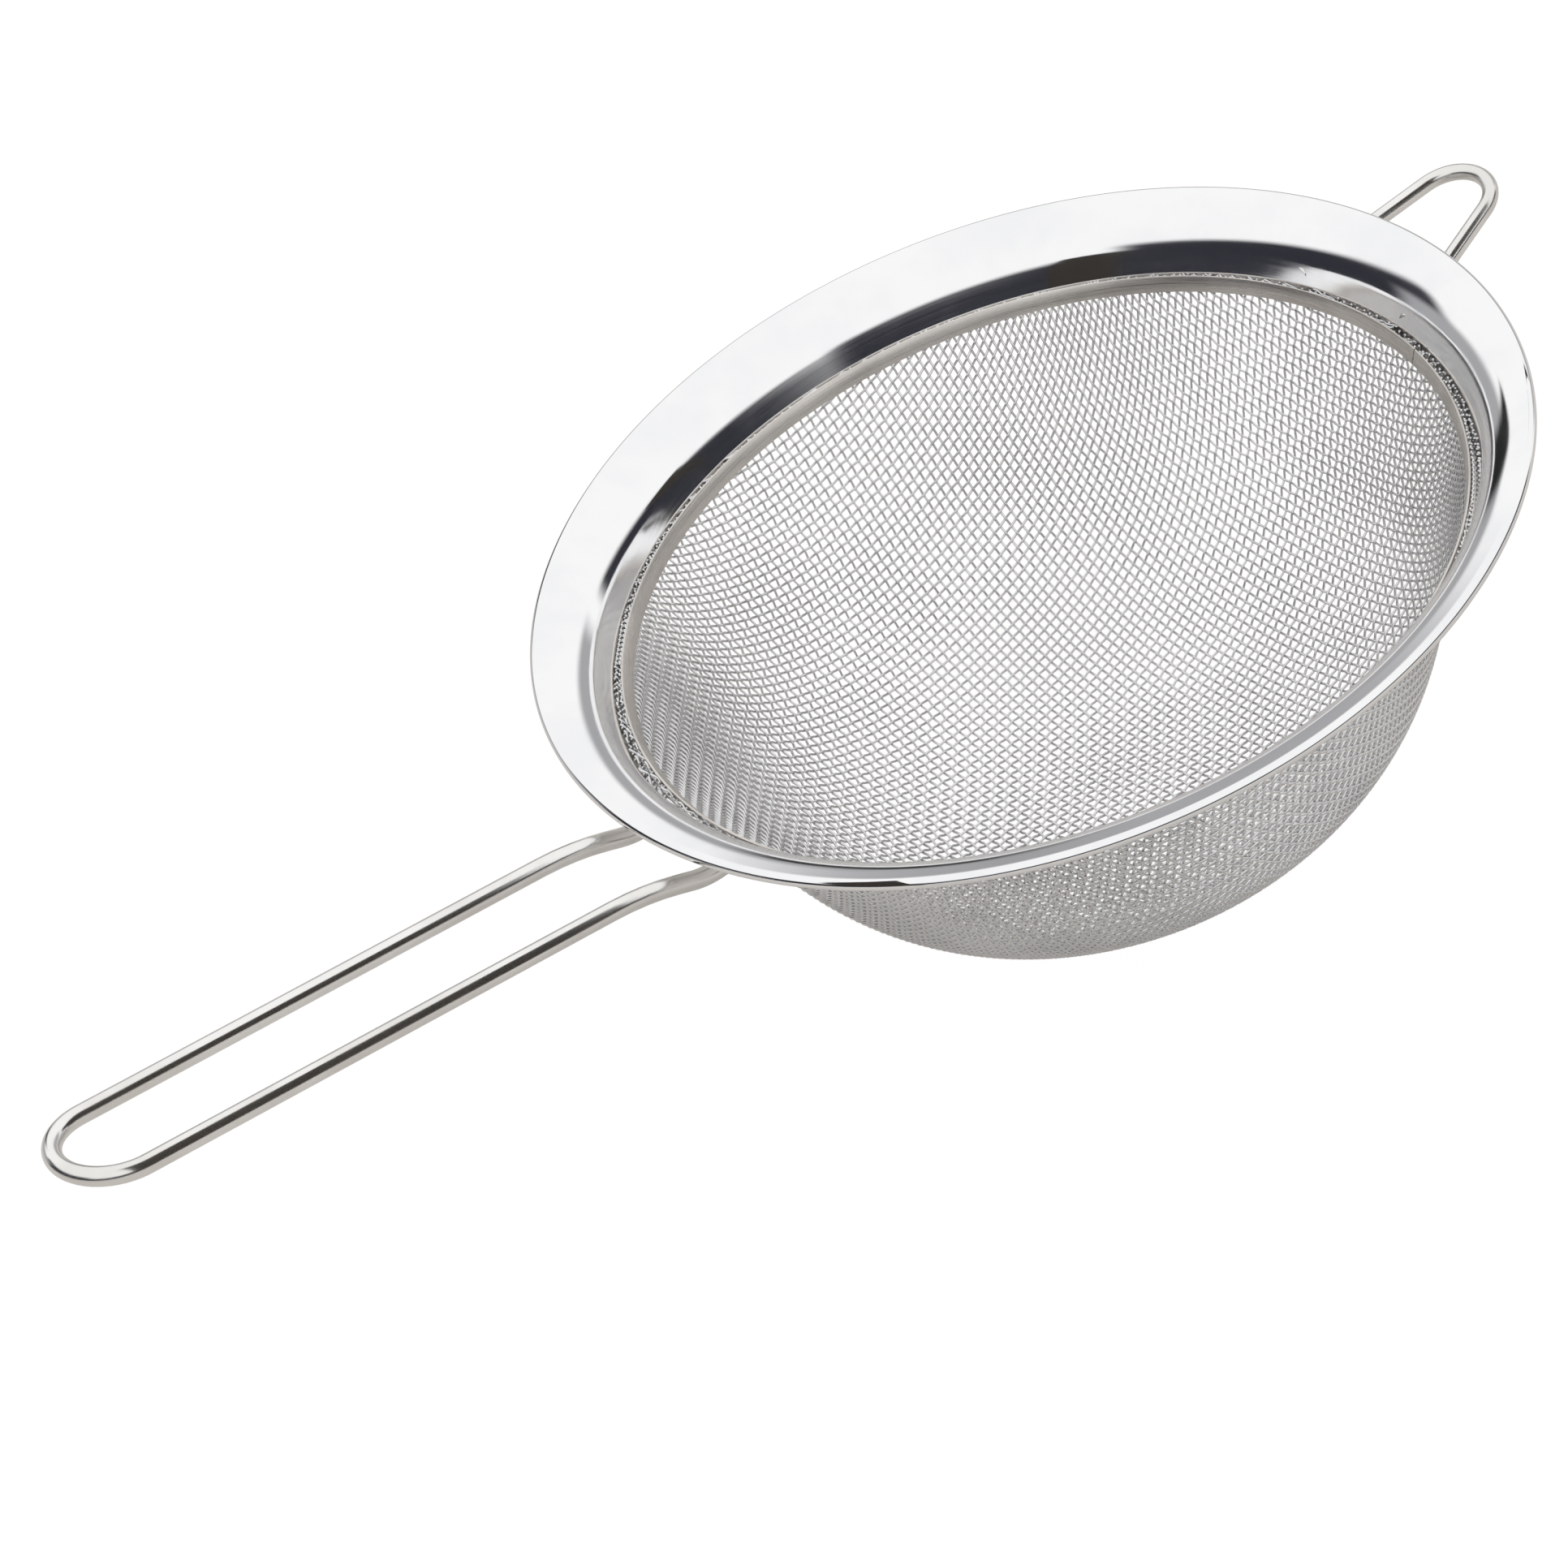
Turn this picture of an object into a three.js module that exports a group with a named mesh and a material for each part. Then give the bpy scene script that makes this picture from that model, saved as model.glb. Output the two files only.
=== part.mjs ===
// A long-handled wire strainer in stainless steel, in millimetres, +Z up.
// The origin is the middle of the small flat under the bowl. The handle points along -X,
// the rest loop along +X. Six kinds of piece: a spun rim, a clamp band inside its neck, a bowl of
// woven cloth held between the two, a handle wire, a rest loop and four fillet welds.
import * as THREE from "three";

// ---- driving dimensions
const BOWL_DEPTH = 62;             // underside of the bowl up to the middle of the rim bead
const BASE_FLAT_RADIUS = 12;       // flat that the bowl rests on
const WALL_LEAN = 25;              // degrees that the upper cloth leans in from vertical
const CLOTH_THICKNESS = 0.6;       // two crossed wires, slightly pressed together

const RIM_RADIUS = 80;             // outside of the bead
const FLANGE_SLOPE = 15;           // degrees that the flange falls next to the bead
const FLANGE_FLAT = 2.6;           // straight part next to the bead
const SHOULDER_RADIUS = 9.4;       // bend from flange to neck, on the upper face
const NECK_LEAN = 25;              // degrees that the neck leans in from vertical
const SHEET_THICKNESS = 0.5;       // rim sheet
const BEAD_RADIUS = 0.9;           // rolled edge, outside
const BEAD_WRAP = 250;             // degrees that the edge is rolled round
const NECK_DROP = 10.0;            // bead middle down to the lower edge of the neck

const BAND_THICKNESS = 0.35;
const BAND_HEIGHT = 2.4;
const BAND_DROP = 10.2;            // bead middle down to the lower edge of the band
const CLOTH_TOP_DROP = 8.1;        // bead middle down to the cut edge of the cloth

const HANDLE_WIRE = 3.0;           // diameter
const HANDLE_SPACING = 18;         // leg to leg, centre to centre
const HANDLE_REACH = 184;          // bowl axis to the outside of the handle's end
const HANDLE_ATTACH_DROP = 7.3;    // bead middle down to the wire where it meets the neck
const HANDLE_LEVEL_RUN = 6.3;      // neck to the first bend
const HANDLE_KINK_OUT = 6.7;       // rim to the second bend
const HANDLE_KINK_DROP = 1.9;      // bead middle down to the wire at the second bend
const HANDLE_RISE = 12.7;          // degrees that the long legs climb
const HANDLE_FIRST_BEND = 14;      // bend radii on the wire's centreline
const HANDLE_SECOND_BEND = 50;

const LOOP_WIRE = 2.6;             // diameter
const LOOP_REACH = 99.4;           // bowl axis to the outside of the loop's end
const LOOP_BEND_RADIUS = 7;        // on the wire's centreline
const LOOP_HALF_ANGLE = 12.9;      // degrees that each leg closes in
const LOOP_ATTACH_DROP = 6.7;      // bead middle down to the wire where it meets the neck
const LOOP_RISE = 7.2;             // degrees

const WELD_BUILD_UP = 0.9;         // how far a weld stands off its wire
const WELD_LENGTH = 1.7;
const WELD_WAIST = 0.45;           // share of the length at which the weld starts to thin sharply
const WELD_WAIST_BUILD_UP = 0.72;  // share of the build-up left there
const WELD_TOE_BUILD_UP = 0.2;     // share of the build-up left at the far end
const GAP = 0.3;                   // between neighbouring pieces
const CLOTH_GAP = 0.15;            // either side of the cloth's edge, where it is gripped

const TURNS = 72;                  // facets round the bowl
const WIRE_SIDES = 10;             // facets round a wire
const WELD_TURNS = 14;
const BEND_STEPS = 6;              // stations in a quarter turn of wire
const FEWEST_BEND_STEPS = 3;
const SAME_POINT = 1e-6;
const CURL_STEPS = 10;
const SHOULDER_STEPS = 7;
const BOWL_STEPS = 11;

// ---- sizes worked out from them
const radians = THREE.MathUtils.degToRad;
const flangeNormal = radians(90 + FLANGE_SLOPE);
const neckNormal = radians(180 - NECK_LEAN);
const beadX = RIM_RADIUS - BEAD_RADIUS;
const beadToShoulder = BEAD_RADIUS - SHOULDER_RADIUS;
const shoulderX = beadX + beadToShoulder * Math.cos(flangeNormal) - FLANGE_FLAT * Math.sin(flangeNormal);
const shoulderZ = BOWL_DEPTH + beadToShoulder * Math.sin(flangeNormal) + FLANGE_FLAT * Math.cos(flangeNormal);
const neckTopX = shoulderX + SHOULDER_RADIUS * Math.cos(neckNormal);
const neckTopZ = shoulderZ + SHOULDER_RADIUS * Math.sin(neckNormal);

const polished = new THREE.MeshStandardMaterial({ color: 0xe9e9ea, roughness: 0.08, metalness: 1 });
const satin = new THREE.MeshStandardMaterial({ color: 0xbdb6ae, roughness: 0.32, metalness: 1 });
const cloth = new THREE.MeshStandardMaterial({ color: 0xc4c5c7, roughness: 0.28, metalness: 1 });
const drawnWire = new THREE.MeshStandardMaterial({ color: 0xd4d2ce, roughness: 0.12, metalness: 1 });
const weldMetal = new THREE.MeshStandardMaterial({ color: 0x9c948a, roughness: 0.42, metalness: 1 });

const strainer = new THREE.Group();

function addPiece(name, geometry, material) {
  const mesh = new THREE.Mesh(geometry, material);
  mesh.name = name;
  strainer.add(mesh);
  return mesh;
}

// Turns a closed outline of (radius, height) points about +Z.
function turned(outline, turns) {
  const closed = [...outline, outline[0]];
  const geometry = new THREE.LatheGeometry(closed, turns);
  geometry.rotateX(Math.PI / 2);
  return geometry;
}

function arcPoints(centreX, centreY, radius, fromAngle, toAngle, steps) {
  const points = [];
  for (let i = 0; i <= steps; i++) {
    const angle = fromAngle + ((toAngle - fromAngle) * i) / steps;
    const x = centreX + radius * Math.cos(angle);
    const y = centreY + radius * Math.sin(angle);
    points.push(new THREE.Vector2(x, y));
  }
  return points;
}

// A point on the straight neck at height z, inwards of its inner face by a distance across the sheet.
function onNeck(z, inwards) {
  const lean = radians(NECK_LEAN);
  return new THREE.Vector2(neckTopX - (neckTopZ - z) * Math.tan(lean) - inwards / Math.cos(lean), z);
}

// ---- rim: rolled bead, sloping flange, wide shoulder and a neck that leans in
// One face of the sheet is the outline at offset 0, the other at the sheet's thickness.
function rimFace(offset) {
  const curlEnd = flangeNormal - radians(BEAD_WRAP);
  const bead = arcPoints(beadX, BOWL_DEPTH, BEAD_RADIUS - offset, curlEnd, flangeNormal, CURL_STEPS);
  const bend = SHOULDER_RADIUS - offset;
  const shoulder = arcPoints(shoulderX, shoulderZ, bend, flangeNormal, neckNormal, SHOULDER_STEPS);
  return [...bead, ...shoulder, onNeck(BOWL_DEPTH - NECK_DROP, -offset)];
}

function rimGeometry() {
  const upper = rimFace(0);
  const under = rimFace(SHEET_THICKNESS).reverse();
  return turned([...upper, ...under], TURNS);
}

// Radius of the rim's outside at height z, on the neck or on the shoulder above it.
function rimOutsideAt(z) {
  const bend = SHOULDER_RADIUS - SHEET_THICKNESS;
  const onShoulder = z > shoulderZ + bend * Math.sin(neckNormal);
  if (onShoulder) return shoulderX - Math.sqrt(bend ** 2 - (z - shoulderZ) ** 2);
  return onNeck(z, -SHEET_THICKNESS).x;
}

// ---- bowl: flat base, round corner, leaning wall and an edge that lies along the neck
function bowlFace(inset) {
  const lean = radians(WALL_LEAN);
  const foot = onNeck(BOWL_DEPTH - NECK_DROP, CLOTH_GAP);
  const across = foot.x - BASE_FLAT_RADIUS;
  const corner = (across * Math.cos(lean) - foot.y * Math.sin(lean)) / (1 - Math.sin(lean));
  const round = arcPoints(BASE_FLAT_RADIUS, corner, corner - inset, -Math.PI / 2, -lean, BOWL_STEPS);
  const edgeFoot = onNeck(foot.y, CLOTH_GAP + inset);
  const edgeTop = onNeck(BOWL_DEPTH - CLOTH_TOP_DROP, CLOTH_GAP + inset);
  return [new THREE.Vector2(0, inset), ...round, edgeFoot, edgeTop];
}

function bowlGeometry() {
  const outline = [...bowlFace(0), ...bowlFace(CLOTH_THICKNESS).reverse()];
  const geometry = new THREE.LatheGeometry(outline, TURNS);
  geometry.rotateX(Math.PI / 2);
  return geometry;
}

function bandGeometry() {
  const low = BOWL_DEPTH - BAND_DROP;
  const high = low + BAND_HEIGHT;
  const outside = CLOTH_GAP + CLOTH_THICKNESS + CLOTH_GAP;
  const inside = outside + BAND_THICKNESS;
  const outline = [onNeck(high, inside), onNeck(low, inside), onNeck(low, outside), onNeck(high, outside)];
  return turned(outline, TURNS);
}

// ---- bent wires
// A path given by its stations: a section is placed at every one of them, closer in the bends.
class StationPath extends THREE.Curve {
  constructor(stations) {
    super();
    this.stations = stations;
  }

  getPoint(t, target = new THREE.Vector3()) {
    const place = t * (this.stations.length - 1);
    const index = Math.min(Math.floor(place), this.stations.length - 2);
    return target.lerpVectors(this.stations[index], this.stations[index + 1], place - index);
  }

  getPointAt(u, target) {
    return this.getPoint(u, target);
  }

  getTangentAt(u, target = new THREE.Vector3()) {
    const last = this.stations.length - 1;
    const index = Math.round(u * last);
    const after = this.stations[Math.min(index + 1, last)];
    const before = this.stations[Math.max(index - 1, 0)];
    const here = this.stations[index];
    const leaving = after.clone().sub(here).normalize();
    const arriving = here.clone().sub(before).normalize();
    return target.addVectors(leaving, arriving).normalize();
  }
}

// Replaces each inner corner by a circular bend. Corners are { point, bend } with bend the radius.
function bentStations(corners) {
  const stations = [corners[0].point];
  for (let i = 1; i < corners.length - 1; i++) {
    const { point, bend } = corners[i];
    const back = corners[i - 1].point.clone().sub(point).normalize();
    const ahead = corners[i + 1].point.clone().sub(point).normalize();
    const opening = back.angleTo(ahead);
    const turn = Math.PI - opening;
    const middle = back.clone().add(ahead).normalize();
    const centre = point.clone().addScaledVector(middle, bend / Math.sin(opening / 2));
    const sideways = ahead.clone().sub(back).normalize();
    const steps = Math.max(FEWEST_BEND_STEPS, Math.ceil((turn / (Math.PI / 2)) * BEND_STEPS));
    for (let k = 0; k <= steps; k++) {
      const angle = turn * (k / steps - 0.5);
      const station = centre.clone();
      station.addScaledVector(middle, -bend * Math.cos(angle));
      station.addScaledVector(sideways, bend * Math.sin(angle));
      stations.push(station);
    }
  }
  stations.push(corners[corners.length - 1].point);
  return stations.filter((station, i) => i === 0 || station.distanceTo(stations[i - 1]) > SAME_POINT);
}

function wireGeometry(stations, diameter) {
  const outline = new THREE.Shape();
  for (let i = 0; i < WIRE_SIDES; i++) {
    const angle = (2 * Math.PI * i) / WIRE_SIDES;
    const x = (diameter / 2) * Math.cos(angle);
    const y = (diameter / 2) * Math.sin(angle);
    if (i === 0) outline.moveTo(x, y);
    else outline.lineTo(x, y);
  }
  outline.closePath();
  const extrudePath = new StationPath(stations);
  const steps = stations.length - 1;
  return new THREE.ExtrudeGeometry(outline, { steps, extrudePath, bevelEnabled: false });
}

// The wire's end stops short of the rim by the gap, allowing for its width and its slant.
function wireEndRadius(diameter, height, offAxis, rise, closing) {
  const nearest = rimOutsideAt(height + diameter / 2);
  const slant = Math.sin(rise) + Math.sin(closing) + offAxis / nearest;
  return nearest + GAP + (diameter / 2) * slant;
}

// ---- handle: one wire, two legs and a round end
function handleStations() {
  const side = HANDLE_SPACING / 2;
  const attachZ = BOWL_DEPTH - HANDLE_ATTACH_DROP;
  const endRadius = wireEndRadius(HANDLE_WIRE, attachZ, side, 0, 0);
  const endX = Math.sqrt(endRadius ** 2 - side ** 2);
  const levelX = rimOutsideAt(attachZ) + HANDLE_LEVEL_RUN;
  const kinkX = RIM_RADIUS + HANDLE_KINK_OUT;
  const tipX = HANDLE_REACH - HANDLE_WIRE / 2;
  const kinkZ = BOWL_DEPTH - HANDLE_KINK_DROP;
  const tipZ = kinkZ + (tipX - kinkX) * Math.tan(radians(HANDLE_RISE));
  const leg = (y) => [
    { point: new THREE.Vector3(-endX, y, attachZ) },
    { point: new THREE.Vector3(-levelX, y, attachZ), bend: HANDLE_FIRST_BEND },
    { point: new THREE.Vector3(-kinkX, y, kinkZ), bend: HANDLE_SECOND_BEND },
    { point: new THREE.Vector3(-tipX, y, tipZ), bend: side },
  ];
  return bentStations([...leg(side), ...leg(-side).reverse()]);
}

// ---- rest loop: one wire, two legs closing in to a tight bend
function loopStations() {
  const closing = radians(LOOP_HALF_ANGLE);
  const rise = radians(LOOP_RISE);
  const cornerX = LOOP_REACH - LOOP_WIRE / 2 + LOOP_BEND_RADIUS * (1 / Math.sin(closing) - 1);
  const sideAt = (x) => (cornerX - x) * Math.tan(closing);
  const attachZ = BOWL_DEPTH - LOOP_ATTACH_DROP;
  const side = sideAt(rimOutsideAt(attachZ));
  const endRadius = wireEndRadius(LOOP_WIRE, attachZ, side, rise, closing);
  const endX = Math.sqrt(endRadius ** 2 - side ** 2);
  const heightAt = (x) => attachZ + (x - endX) * Math.tan(rise);
  return bentStations([
    { point: new THREE.Vector3(endX, sideAt(endX), heightAt(endX)) },
    { point: new THREE.Vector3(cornerX, 0, heightAt(cornerX)), bend: LOOP_BEND_RADIUS },
    { point: new THREE.Vector3(endX, -sideAt(endX), heightAt(endX)) },
  ]);
}

// ---- welds: a ring of filler round each wire where it meets the neck
// The ring is thickest at the neck and thins along the wire.
function weldPiece(name, end, next, diameter) {
  const bore = diameter / 2 + GAP;
  const outline = [
    new THREE.Vector2(bore, 0),
    new THREE.Vector2(bore + WELD_BUILD_UP, 0),
    new THREE.Vector2(bore + WELD_BUILD_UP * WELD_WAIST_BUILD_UP, WELD_LENGTH * WELD_WAIST),
    new THREE.Vector2(bore + WELD_BUILD_UP * WELD_TOE_BUILD_UP, WELD_LENGTH),
    new THREE.Vector2(bore, WELD_LENGTH),
  ];
  const direction = next.clone().sub(end).normalize();
  const piece = addPiece(name, turned(outline, WELD_TURNS), weldMetal);
  piece.quaternion.setFromUnitVectors(new THREE.Vector3(0, 0, 1), direction);
  // The ring's edge that comes nearest to the rim still clears it by the gap.
  const reach = bore + WELD_BUILD_UP;
  const nearest = rimOutsideAt(end.z + reach);
  const sidewaysLean = Math.abs(end.y) / nearest + Math.abs(direction.y);
  const standOff = reach * Math.hypot(direction.z, sidewaysLean);
  const clear = nearest + GAP + standOff - Math.hypot(end.x, end.y);
  piece.position.copy(end).addScaledVector(direction, clear);
}

function addWelds(prefix, stations, diameter) {
  const last = stations.length - 1;
  weldPiece(`${prefix}_weld_left`, stations[0], stations[1], diameter);
  weldPiece(`${prefix}_weld_right`, stations[last], stations[last - 1], diameter);
}

// ---- assembly
addPiece("rim_flange", rimGeometry(), polished);
addPiece("clamp_band", bandGeometry(), satin);
addPiece("mesh_bowl", bowlGeometry(), cloth);

const handle = handleStations();
const restLoop = loopStations();
addPiece("handle_wire", wireGeometry(handle, HANDLE_WIRE), drawnWire);
addPiece("rest_loop_wire", wireGeometry(restLoop, LOOP_WIRE), drawnWire);
addWelds("handle", handle, HANDLE_WIRE);
addWelds("rest_loop", restLoop, LOOP_WIRE);

export default strainer;
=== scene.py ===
import math

import bpy
import numpy as np
from mathutils import Matrix, Vector


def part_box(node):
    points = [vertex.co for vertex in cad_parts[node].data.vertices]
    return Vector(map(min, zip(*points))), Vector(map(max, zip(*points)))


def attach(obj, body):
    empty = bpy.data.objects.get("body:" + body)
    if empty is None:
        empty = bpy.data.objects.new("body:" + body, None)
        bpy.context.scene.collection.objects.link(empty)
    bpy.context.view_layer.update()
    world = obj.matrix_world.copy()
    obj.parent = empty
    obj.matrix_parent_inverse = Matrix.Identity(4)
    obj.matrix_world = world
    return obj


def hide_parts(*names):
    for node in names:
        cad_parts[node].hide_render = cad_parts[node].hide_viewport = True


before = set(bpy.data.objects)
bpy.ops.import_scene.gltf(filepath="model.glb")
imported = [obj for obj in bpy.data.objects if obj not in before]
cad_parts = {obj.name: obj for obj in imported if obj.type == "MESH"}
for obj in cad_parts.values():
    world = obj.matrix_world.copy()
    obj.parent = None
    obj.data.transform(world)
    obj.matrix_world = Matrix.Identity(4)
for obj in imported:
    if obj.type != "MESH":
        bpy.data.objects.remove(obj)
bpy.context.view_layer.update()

# ---- sizes, in metres ----------------------------------------------------------------------------
# Places come from the frame. What the frame can't say is named here once.
MM = 0.001
rim_low, rim_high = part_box("rim_flange")
band_low, band_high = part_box("clamp_band")
CLOTH_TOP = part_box("mesh_bowl")[1].z
handle_low, handle_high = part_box("handle_wire")
loop_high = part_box("rest_loop_wire")[1]

BEAD_RADIUS = 0.9 * MM
BEAD_WRAP = math.radians(250)
FLANGE_SLOPE = math.radians(15)
FLANGE_FLAT = 2.6 * MM                     # straight part next to the bead
SHEET = 0.5 * MM
SHEET_EDGE = 0.12 * MM                     # rounding of the sheet's cut edges
SHOULDER_RADIUS = 9.4 * MM
NECK_LEAN = math.radians(25)
RIM_RADIUS = rim_high.x
BEAD_HEIGHT = rim_high.z - BEAD_RADIUS
NECK_FOOT = rim_low.z
RIM_TURNS = 288
BEAD_STEPS, FLANGE_STEPS, SHOULDER_STEPS, NECK_STEPS = 26, 6, 18, 4

BAND_THICKNESS = 0.35 * MM
BAND_DEPTH = 0.9 * MM                      # neck's inner face to the band's outer face
BAND_JOINT_ANGLE = math.radians(-15)
BAND_JOINT_WIDTH = 0.25 * MM
BAND_EDGE = 0.3 * BAND_THICKNESS           # rounding of the strip's edges

WIRE = 0.4 * MM                            # cloth wire
PITCH = 1.5 * MM                           # cloth wire to cloth wire
CLOTH_CLEARANCE = 0.06 * MM                # neck's inner face to the nearest wire
CRIMP = 0.19 * MM                          # how far a wire swings each side of the cloth's middle
BASE_FLAT = 12 * MM
WALL_LEAN = math.radians(25)
STATIONS_PER_PITCH = 4
CLOTH_WIRE_SIDES = 6
FEWEST_CROSSINGS = 3                       # a wire that crosses fewer than this is left out
CLOTH_PARTS = 5                            # pieces that each direction of wire is kept in
NEWTON_ROUNDS = 7

ROD_SIDES = 28
RUN_STEPS = 3                              # rings in a straight run of rod
BEND_STEP = math.radians(4)                # turn from ring to ring in a bend
FEWEST_BEND_STEPS = 4
HALVES_MEET = 0.01 * MM                    # how close the two halves of a rod count as joined
HANDLE_WIRE = 3.0 * MM
HANDLE_SIDE = handle_high.y - HANDLE_WIRE / 2
HANDLE_LEVEL = BEAD_HEIGHT - 7.3 * MM
HANDLE_LEVEL_RUN = 6.3 * MM                # neck to the first bend
HANDLE_SECOND_CORNER = RIM_RADIUS + 6.7 * MM
HANDLE_SECOND_HEIGHT = BEAD_HEIGHT - 1.9 * MM
HANDLE_RISE = math.radians(12.7)
HANDLE_TIP = -handle_low.x - HANDLE_WIRE / 2
HANDLE_BENDS = (14 * MM, 50 * MM, HANDLE_SIDE)

LOOP_WIRE = 2.6 * MM
LOOP_BEND = 7 * MM
LOOP_CLOSING = math.radians(12.9)
LOOP_RISE = math.radians(7.2)
LOOP_LEVEL = BEAD_HEIGHT - 6.7 * MM
LOOP_TIP = loop_high.x - LOOP_WIRE / 2

# Along the rod and out from it, in millimetres, from the neck to the weld's far end.
WELD_RINGS = ((0.0, 1.0), (0.35, 0.85), (0.9, 0.5), (1.5, 0.2), (2.1, 0.04))
WELD_SIDES = 24
WELD_LUMP_SIZE = 1.6 * MM
WELD_LUMP_HEIGHT = 0.45 * MM

SAME_PLACE = 1e-6
SHEET_SMOOTHING = math.radians(40)         # edges sharper than this stay crisp
ROD_SMOOTHING = math.radians(50)
WELD_SMOOTHING = math.radians(60)

FLOOR_SIZE = 6.0
FLOOR_COLOUR = (0.70, 0.67, 0.64, 1)
FLOOR_GLOW = 0.9                           # how much of the seen floor's light is its own
FLOOR_LIGHT = 1.07
CARD_COLOUR = (0.075, 0.068, 0.062, 1)
ROOM_COLOUR = (1, 1, 1, 1)
BACKDROP_COLOUR = (1.02, 1.02, 1.02, 1)    # what the camera sees behind the floor
# Darker stretches of the room: azimuth, half width, low, high and soft edge in degrees, then colour.
DARK_ROOM = (0.032, 0.033, 0.042)
ROOM_PATCHES = (
    (-45, 45, -90, 19, 4, DARK_ROOM),
    (-118, 44, -90, 29, 4, DARK_ROOM),
    (38, 48, -90, 15, 4, DARK_ROOM),
    (155, 58, -6, 16, 4, (0.40, 0.40, 0.41)),
    (170.5, 4, -5, 23, 1.5, (0.02, 0.02, 0.02)),
    (146, 4, -5, 9, 1.5, (0.05, 0.05, 0.05)),
)
# Black cards that only mirrored light meets, beside each rod: both ends, width, and the way they face.
CARDS = (
    ("handle_card", (-0.176, -0.036, 0.107), (-0.066, -0.036, 0.082), 0.068, (-0.129, 0.81, -0.573)),
    ("loop_card", (0.075, -0.026, 0.085), (0.118, -0.024, 0.089), 0.036, (-0.1, 0.65, -0.75)),
)
CAMERA_ANGLES = (math.radians(-25), math.radians(38.2), math.radians(23.08))   # azimuth, elevation, roll
# How far the rim's centre lies right of, above and before the camera.
CAMERA_OFFSET = (36.8 * MM, 40.0 * MM, 1053.4 * MM)
CAMERA_LENS, SENSOR_WIDTH = 158.4, 36.0    # millimetres
CAMERA_NEAR, CAMERA_FAR = 0.05, 20.0


# ---- helpers for work in edit mode ---------------------------------------------------------------
def deselect_all():
    bpy.ops.object.select_all(action="DESELECT")


def begin(name):
    """Names the primitive just added, sets its place into its mesh and opens it for shaping."""
    piece = bpy.context.active_object
    piece.name = name
    piece.data.name = name
    bpy.ops.object.transform_apply(location=True, rotation=True, scale=True)
    bpy.ops.object.mode_set(mode="EDIT")
    return piece


def close_up(smooth_angle):
    """Merges doubles, fills open ends, points the faces outwards and smooths the shading."""
    bpy.ops.mesh.select_all(action="SELECT")
    bpy.ops.mesh.remove_doubles(threshold=SAME_PLACE)
    bpy.ops.mesh.fill_holes(sides=0)
    bpy.ops.mesh.select_all(action="SELECT")
    bpy.ops.mesh.normals_make_consistent(inside=False)
    bpy.ops.object.mode_set(mode="OBJECT")
    bpy.ops.object.shade_smooth_by_angle(angle=smooth_angle)


def apply_modifier(piece, kind, **settings):
    modifier = piece.modifiers.new(kind.title(), kind)
    for key, value in settings.items():
        setattr(modifier, key, value)
    bpy.context.view_layer.objects.active = piece
    bpy.ops.object.modifier_apply(modifier=modifier.name)


def extrude_by(step):
    bpy.ops.mesh.extrude_region_move(TRANSFORM_OT_translate={"value": step})


def extrude_in_steps(run, steps):
    for _ in range(steps):
        extrude_by(run / steps)


def spin_about(centre, axis, angle, steps):
    bpy.ops.mesh.spin(steps=steps, angle=angle, center=centre, axis=axis, dupli=False)


def finish_piece(piece, material, node):
    piece.data.materials.append(material)
    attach(piece, "root")
    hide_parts(node)


# ---- shader helpers ------------------------------------------------------------------------------
MIX_FIRST, MIX_SECOND, MIX_RESULT = 6, 7, 2        # the colour sockets of a Mix node


class Nodes:
    """Short calls for building a node tree."""

    def __init__(self, tree):
        self.tree = tree

    def add(self, kind, **settings):
        node = self.tree.nodes.new(kind)
        for key, value in settings.items():
            setattr(node, key, value)
        return node

    def join(self, source, target):
        self.tree.links.new(source, target)

    def feed(self, socket, value):
        if isinstance(value, bpy.types.NodeSocket):
            self.join(value, socket)
        else:
            socket.default_value = value

    def math(self, operation, first, second=0.0):
        node = self.add("ShaderNodeMath", operation=operation)
        self.feed(node.inputs[0], first)
        self.feed(node.inputs[1], second)
        return node.outputs[0]

    def noise(self, vector, scale, detail, roughness):
        node = self.add("ShaderNodeTexNoise")
        self.feed(node.inputs["Vector"], vector)
        self.feed(node.inputs["Scale"], scale)
        node.inputs["Detail"].default_value = detail
        node.inputs["Roughness"].default_value = roughness
        return node.outputs["Fac"]

    def spread(self, value, low, high, to_low=0.0, to_high=1.0, smooth=True):
        node = self.add("ShaderNodeMapRange")
        if smooth:
            node.interpolation_type = "SMOOTHSTEP"
        self.feed(node.inputs["Value"], value)
        for name, number in (("From Min", low), ("From Max", high), ("To Min", to_low), ("To Max", to_high)):
            self.feed(node.inputs[name], number)
        return node.outputs["Result"]

    def mix(self, factor, first, second):
        node = self.add("ShaderNodeMix", data_type="RGBA")
        self.feed(node.inputs["Factor"], factor)
        self.feed(node.inputs[MIX_FIRST], first)
        self.feed(node.inputs[MIX_SECOND], second)
        return node.outputs[MIX_RESULT]

    def place_group(self, group, vector, **values):
        node = self.add("ShaderNodeGroup", node_tree=group)
        self.join(vector, node.inputs["Vector"])
        for name, value in values.items():
            node.inputs[name].default_value = value
        return node

    def show(self, surface, kind="ShaderNodeOutputMaterial"):
        self.join(surface, self.add(kind).inputs["Surface"])


def new_material(name):
    """An empty material and the calls for building its nodes."""
    material = bpy.data.materials.new(name)
    material.use_nodes = True
    nodes = Nodes(material.node_tree)
    nodes.tree.nodes.clear()
    return material, nodes


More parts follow.
